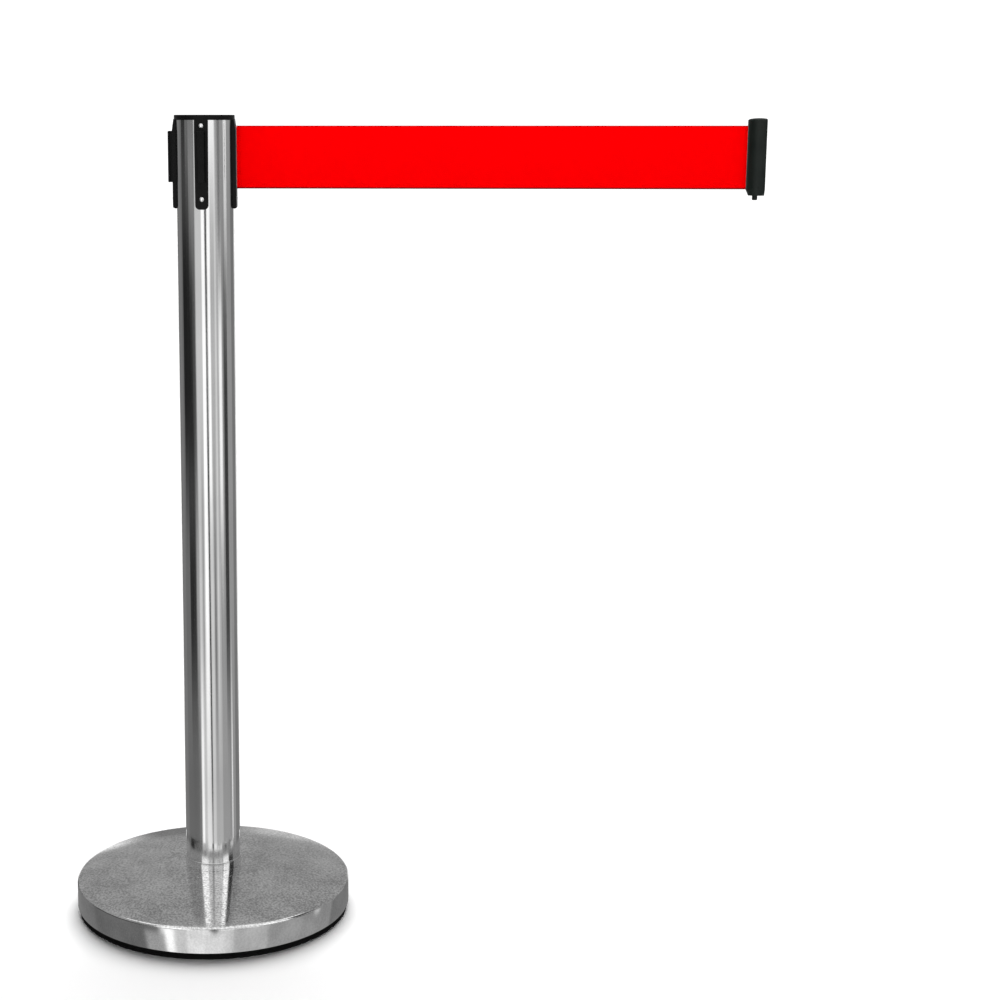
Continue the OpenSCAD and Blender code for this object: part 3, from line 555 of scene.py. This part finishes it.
def belt_roll():
    """The belt still on the spool, wound as one spiral strip from its anchor pin outwards."""
    low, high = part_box("belt_roll")
    pitch = BELT_THICKNESS
    thickness = pitch - 2 * SELVEDGE_SWELL - ROLL_AIR
    inner = ROLL_CORE + pitch / 2
    turns = round((high.x - inner) / pitch)
    steps = 40
    path = []
    for i in range(turns * steps + 1):
        angle, radius = 2 * math.pi * i / steps, inner + pitch * i / steps
        path.append((radius * math.cos(angle), radius * math.sin(angle)))
    path = [point for point in path if math.hypot(*point) < high.x - pitch / 2]
    pin_low, pin_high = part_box("belt_anchor_pin")
    pin = (pin_low.x + pin_high.x) / 2
    around = (pin_high.x - pin_low.x) / 2 + SPOOL_PIN_AIR + pitch / 2
    path = arc(pin, 0, around, -20, -340, 16)[::-1][:15] + path
    piece = new_piece("belt_roll_web", web_strip(path, low.z, high.z, thickness), "belt_roll")
    return piece


# ---------------------------------------------------------------- head, clip and the nodes kept as they are

SOFT_EDGES = {
    "head_crown": 0.45 * MM,
    "receiver_rail_left": 0.4 * MM,
    "receiver_rail_front": 0.4 * MM,
    "receiver_rail_back": 0.4 * MM,
    "clip_body": 0.35 * MM,
    "clip_cover": 0.35 * MM,
    "release_button": 0.15 * MM,
    "belt_guide": 0.2 * MM,
    "head_screws": 0.12 * MM,
}


def lock_coils():
    """The lock's two springs, pressed together between their seats in the clip and the lock bolt's tail."""
    low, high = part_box("lock_springs")
    shape = bmesh.new()
    shape.from_mesh(frame["nodes"]["lock_springs"].data)
    bmesh.ops.remove_doubles(shape, verts=shape.verts, dist=1e-6)
    piece = new_piece("lock_springs_coils", shape, "lock_springs", rides=False)
    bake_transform(piece, "clip", "lock_bolt", start=(low.x, 0, low.z), end=(high.x, 0, low.z))
    even_stretch(piece, low.x, high.x)
    return piece


def dress_kept_nodes(replaced):
    """Gives every CAD node that still shows the material of its slot."""
    for name, node in frame["nodes"].items():
        if name in replaced:
            continue
        node.data.materials.clear()
        node.data.materials.append(MATERIALS[SLOT_OF[name]])


def build_pieces():
    pieces = [base_cover(), base_ring(), post_collar(), belt_span(), belt_lead(), belt_roll(), lock_coils()]
    for node, width in SOFT_EDGES.items():
        ending = "_domed" if "screw" in node else "_moulding"
        pieces.append(softened(node + ending, node, width))
    dress_kept_nodes({node for piece in pieces for node in piece["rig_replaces"]})


# ---------------------------------------------------------------- studio

DISPLAY_GAMMA = 2.2
STEEL_BRIGHTNESS = 0.75


def shown(display):
    """Light that polished steel shows as this grey, from 0 to 1 on the display."""
    return display ** DISPLAY_GAMMA / STEEL_BRIGHTNESS


# Cards and flags round the set, as polished steel shows them: azimuths from and to, elevations from and to,
# grey. Azimuth 0 is the camera's side, and it grows to the right. Later ones cover earlier ones.
CARDS = [
    ("back_wall", (-185, -110), (-90, 5), 0.44),
    ("left_wall", (-120, -46), (-90, 8), 0.40),
    ("left_flag", (-110, -60), (-11, -2), 0.14),
    ("left_lower_flag", (-90, -60), (-17, -11), 0.17),
    ("left_half_flag", (-61, -49), (-11, -3), 0.27),
    ("left_top_flag", (-109, -87), (-2, 8), 0.18),
    ("left_glow", (-72, -50), (-2.6, -1.4), 0.66),
    ("left_card", (-46, -22), (-90, 4), 0.76),
    ("left_lower_card", (-56, -44), (-17, -11), 0.60),
    ("left_seam", (-33, -26), (-17, -10), 0.58),
    ("left_strip", (-43, -34), (-90, -17), 1.0),
    ("side_glow", (-60, -42), (-90, -23), 0.62),
    ("main_card", (-22, -2), (-90, 4), 1.0),
    ("main_low", (-22, -2), (-90, -17), 0.88),
    ("right_card", (2, 16), (-12, 4), 1.0),
    ("right_low", (2, 18), (-90, -12), 0.78),
    ("seam", (-4, 3), (-20.5, 2), 0.22),
    ("front_low", (-8, 8), (-90, -22.5), 0.83),
    ("right_fill", (16, 47), (-90, -1), 0.67),
    ("right_line", (32, 39), (-17, -2), 0.80),
    ("right_seam", (19, 28), (-18, -11), 0.45),
    ("right_window", (48, 62), (-12, -4.5), 0.97),
    ("right_low_fill", (47, 80), (-90, -17), 0.58),
    ("right_flag", (70, 89), (-17, -5), 0.22),
    ("right_top", (12, 38), (-1.5, 4), 1.0),
    ("right_top_seam", (50, 60), (-4, 4), 0.36),
    ("right_top_window", (79, 94), (-3, 4), 0.92),
    ("far_wall", (118, 185), (-90, 5), 0.44),
    ("back_card", (-174, -158), (-17, 5), 0.95),
    ("back_flag", (-156, -149), (-17, 5), 0.22),
    ("back_strip", (152, 158), (-17, 5), 1.0),
    ("back_fill", (162, 178), (-17, 5), 0.70),
    ("far_strip", (93, 99), (-21.5, -17), 0.95),
    ("upper_left_strip", (-50, -20), (12, 51), 1.05),
    ("upper_fill", (-20, 40), (12, 51), 0.80),
    ("upper_seam", (-4, 4), (12, 51), 0.55),
    ("upper_right_strip", (42, 68), (12, 51), 1.05),
    ("upper_flag", (69, 92), (12, 51), 0.22),
    ("overhead", (-185, 185), (52, 95), 0.90),
]
# Grey between the cards, and how far each card's edges fade, in degrees
BARE = 0.55
CARD_SOFTNESS = 2.5
# Plain light near the horizon and far from it, the elevation it changes at, and half the change's height
PLAIN_LIGHT = (3.1, 0.05)
LOW_BAND = 12
LOW_BAND_FADE = 4
# Light of the background as the camera sees it, which is plain white
SEEN_LIGHT = 1.2
# The lamp: its power, its width across the sky and its height, both in degrees
LAMP_POWER = 3.7
LAMP_SIZE = 50
LAMP_HEIGHT = 57
FLOOR_REACH = 15


def studio_world():
    """White for the camera and for soft light; polished surfaces see cards and flags instead."""
    world = bpy.data.worlds.new("studio")
    bpy.context.scene.world = world
    tree = Tree(world)
    world.cycles.sampling_method = "NONE"
    heading = math.atan2(CAMERA_PLACE[0], -CAMERA_PLACE[1])
    place = tree.add("ShaderNodeTexCoord").outputs["Generated"]
    turn = {"Vector": place, "Angle": -heading}
    ahead = tree.add("ShaderNodeVectorRotate", turn, rotation_type="Z_AXIS").outputs[0]
    x, y, z = tree.add("ShaderNodeSeparateXYZ", {"Vector": ahead}).outputs
    side = tree.maths("ARCTAN2", x, tree.maths("MULTIPLY", y, -1.0))
    azimuth = tree.maths("MULTIPLY", side, math.degrees(1))
    elevation = tree.maths("MULTIPLY", tree.maths("ARCSINE", z), math.degrees(1))

    def within(value, low, high):
        rise = tree.span(value, 0, 1, low - CARD_SOFTNESS, low + CARD_SOFTNESS, "SMOOTHSTEP")
        fall = tree.span(value, 1, 0, high - CARD_SOFTNESS, high + CARD_SOFTNESS, "SMOOTHSTEP")
        return tree.maths("MULTIPLY", rise, fall)

    light = shown(BARE)
    for _, sides, heights, display in CARDS:
        covered = tree.maths("MULTIPLY", within(azimuth, *sides), within(elevation, *heights))
        light = tree.mix(covered, light, shown(display))

    polished = tree.add("ShaderNodeBackground", {"Color": (1, 1, 1, 1), "Strength": light}).outputs[0]
    above = tree.maths("ABSOLUTE", elevation)
    band = (LOW_BAND - LOW_BAND_FADE, LOW_BAND + LOW_BAND_FADE)
    level = tree.span(above, *PLAIN_LIGHT, *band, "SMOOTHSTEP")
    seen = tree.add("ShaderNodeLightPath").outputs["Is Camera Ray"]
    level = tree.mix(seen, level, SEEN_LIGHT)
    plain = tree.add("ShaderNodeBackground", {"Color": (1, 1, 1, 1), "Strength": level}).outputs[0]
    glossy = tree.add("ShaderNodeLightPath").outputs["Is Glossy Ray"]
    both = tree.add("ShaderNodeMixShader", {0: glossy, 1: plain, 2: polished}).outputs[0]
    tree.tree.links.new(both, tree.tree.nodes["World Output"].inputs["Surface"])


def studio_lamp():
    """A large soft lamp above and behind, whose shadow falls towards the camera."""
    data = bpy.data.lights.new("studio_lamp", "SUN")
    data.energy = LAMP_POWER
    data.angle = math.radians(LAMP_SIZE)
    lamp = bpy.data.objects.new("studio_lamp", data)
    lamp.rotation_euler = (math.radians(LAMP_HEIGHT - 90), 0, 0)
    lamp.visible_glossy = False
    bpy.context.scene.collection.objects.link(lamp)


def studio_floor():
    shape = bmesh.new()
    bmesh.ops.create_grid(shape, x_segments=1, y_segments=1, size=FLOOR_REACH)
    mesh = bpy.data.meshes.new("studio_floor")
    shape.to_mesh(mesh)
    shape.free()
    look = Look("studio_floor", {"Specular IOR Level": 0.0})
    tone = look.noise(2, 2)
    colour = look.ramp(tone, (0.3, grey(0.965)), (0.7, grey(0.975)))
    mesh.materials.append(look.finish(colour, look.span(tone, 0.9, 1.0), look.bump(tone, 1e-5)))
    floor = bpy.data.objects.new("studio_floor", mesh)
    bpy.context.scene.collection.objects.link(floor)
    floor.visible_glossy = False


def camera():
    data = bpy.data.cameras.new("camera")
    data.lens = CAMERA_LENS
    data.sensor_width = CAMERA_SENSOR
    data.shift_x = CAMERA_SHIFT
    data.clip_end = 100
    eye = bpy.data.objects.new("camera", data)
    eye.location = CAMERA_PLACE
    eye.rotation_euler = (math.radians(90 + CAMERA_PITCH), 0, math.radians(CAMERA_YAW))
    bpy.context.scene.collection.objects.link(eye)
    bpy.context.scene.camera = eye


bpy.context.scene.view_settings.view_transform = "Standard"
build_pieces()
studio_world()
studio_lamp()
studio_floor()
camera()
